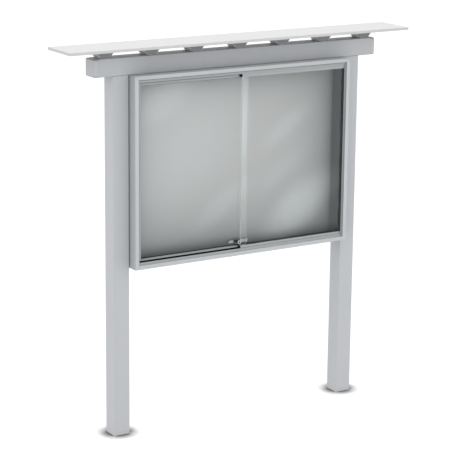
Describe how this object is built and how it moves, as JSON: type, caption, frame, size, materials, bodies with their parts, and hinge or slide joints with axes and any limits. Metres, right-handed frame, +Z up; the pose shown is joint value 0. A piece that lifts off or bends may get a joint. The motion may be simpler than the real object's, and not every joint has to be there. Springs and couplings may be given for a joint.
{
  "type": "lockable notice board",
  "caption": "Free-standing lockable notice board: two posts and a beam carry a canopy and a glazed display case with sliding panes and a ratchet lock.",
  "frame": {"origin": "on the ground, midway between the two posts and midway through their depth", "axes": "+X to the right as seen from the front, +Y to the back, +Z up"},
  "size_m": [2.218, 0.268, 2.218],
  "materials": {
    "grey_coat": "satin light grey powder coat",
    "pale_coat": "satin off-white powder coat",
    "cap_plastic": "moulded light grey",
    "anodised": "satin silver anodised",
    "black_plastic": "moulded black",
    "panel_grey": "fine light grey pin felt",
    "pale_foam": "rigid foam",
    "zinc_steel": "bright zinc plate",
    "chromed": "polished",
    "clear_glass": "clear toughened float"
  },
  "bodies": {
    "frame": {"back_sheet": "anodised", "beam": "grey_coat", "bottom_brush_seal": "black_plastic", "canopy": "pale_coat", "canopy_bracket_1": "grey_coat", "canopy_bracket_2": "grey_coat", "canopy_bracket_3": "grey_coat", "canopy_bracket_4": "grey_coat", "canopy_bracket_5": "grey_coat", "canopy_bracket_6": "grey_coat", "canopy_bracket_7": "grey_coat", "case_bolt_1": "zinc_steel", "case_bolt_2": "zinc_steel", "case_bolt_3": "zinc_steel", "case_bolt_4": "zinc_steel", "case_bottom_profile": "anodised", "case_left_profile": "anodised", "case_right_profile": "anodised", "case_top_profile": "anodised", "corner_cleat_1": "zinc_steel", "corner_cleat_2": "zinc_steel", "corner_cleat_3": "zinc_steel", "corner_cleat_4": "zinc_steel", "front_bottom_track_liner": "black_plastic", "front_top_track_liner": "black_plastic", "left_beam_anchor": "zinc_steel", "left_beam_cap": "cap_plastic", "left_foot_cap": "cap_plastic", "left_jamb_seal": "black_plastic", "left_packing_strip": "black_plastic", "left_post": "grey_coat", "left_post_head": "zinc_steel", "panel_core": "pale_foam", "pin_panel": "panel_grey", "rear_bottom_track_liner": "black_plastic", "rear_top_track_liner": "black_plastic", "right_beam_anchor": "zinc_steel", "right_beam_cap": "cap_plastic", "right_foot_cap": "cap_plastic", "right_jamb_seal": "black_plastic", "right_packing_strip": "black_plastic", "right_post": "grey_coat", "right_post_head": "zinc_steel", "top_brush_seal": "black_plastic"},
    "front_pane": {"front_pane_bottom_rail": "anodised", "front_pane_corner_buffer": "black_plastic", "front_pane_edge_seal": "black_plastic", "front_pane_glass": "clear_glass", "front_pane_glide": "black_plastic", "front_pane_rail_end": "black_plastic", "front_pane_top_rail": "anodised"},
    "rear_pane": {"rear_pane_bottom_rail": "anodised", "rear_pane_edge_profile": "anodised", "rear_pane_glass": "clear_glass", "rear_pane_glide": "black_plastic", "rear_pane_top_rail": "anodised", "ratchet_bar": "chromed"},
    "lock_housing": {"lock_housing": "chromed"},
    "lock_plug": {"lock_plug": "chromed"},
    "lock_pawl": {"lock_pawl": "zinc_steel"}
  },
  "joints": [
    {"name": "front_pane_slide", "type": "slide", "parent": "frame", "child": "front_pane", "axis": [1, 0, 0], "range_m": [-0.54, 0]},
    {"name": "rear_pane_slide", "type": "slide", "parent": "frame", "child": "rear_pane", "axis": [1, 0, 0], "range_m": [0, 0.6]},
    {"name": "lock_slide", "type": "slide", "parent": "front_pane", "child": "lock_housing", "axis": [1, 0, 0], "range_m": [-0.075, 0]},
    {"name": "plug_turn", "type": "hinge", "parent": "lock_housing", "child": "lock_plug", "pos_m": [-0.0338, -0.11, 1.054], "axis": [0, 1, 0], "range_deg": [0, 90]},
    {"name": "pawl_slide", "type": "slide", "parent": "lock_housing", "child": "lock_pawl", "axis": [0, 0, 1], "range_m": [-0.00221, 0]}
  ],
  "couplings": [
    {"joint": "pawl_slide", "follows": "plug_turn", "m_per_rad": -0.0014006}
  ]
}
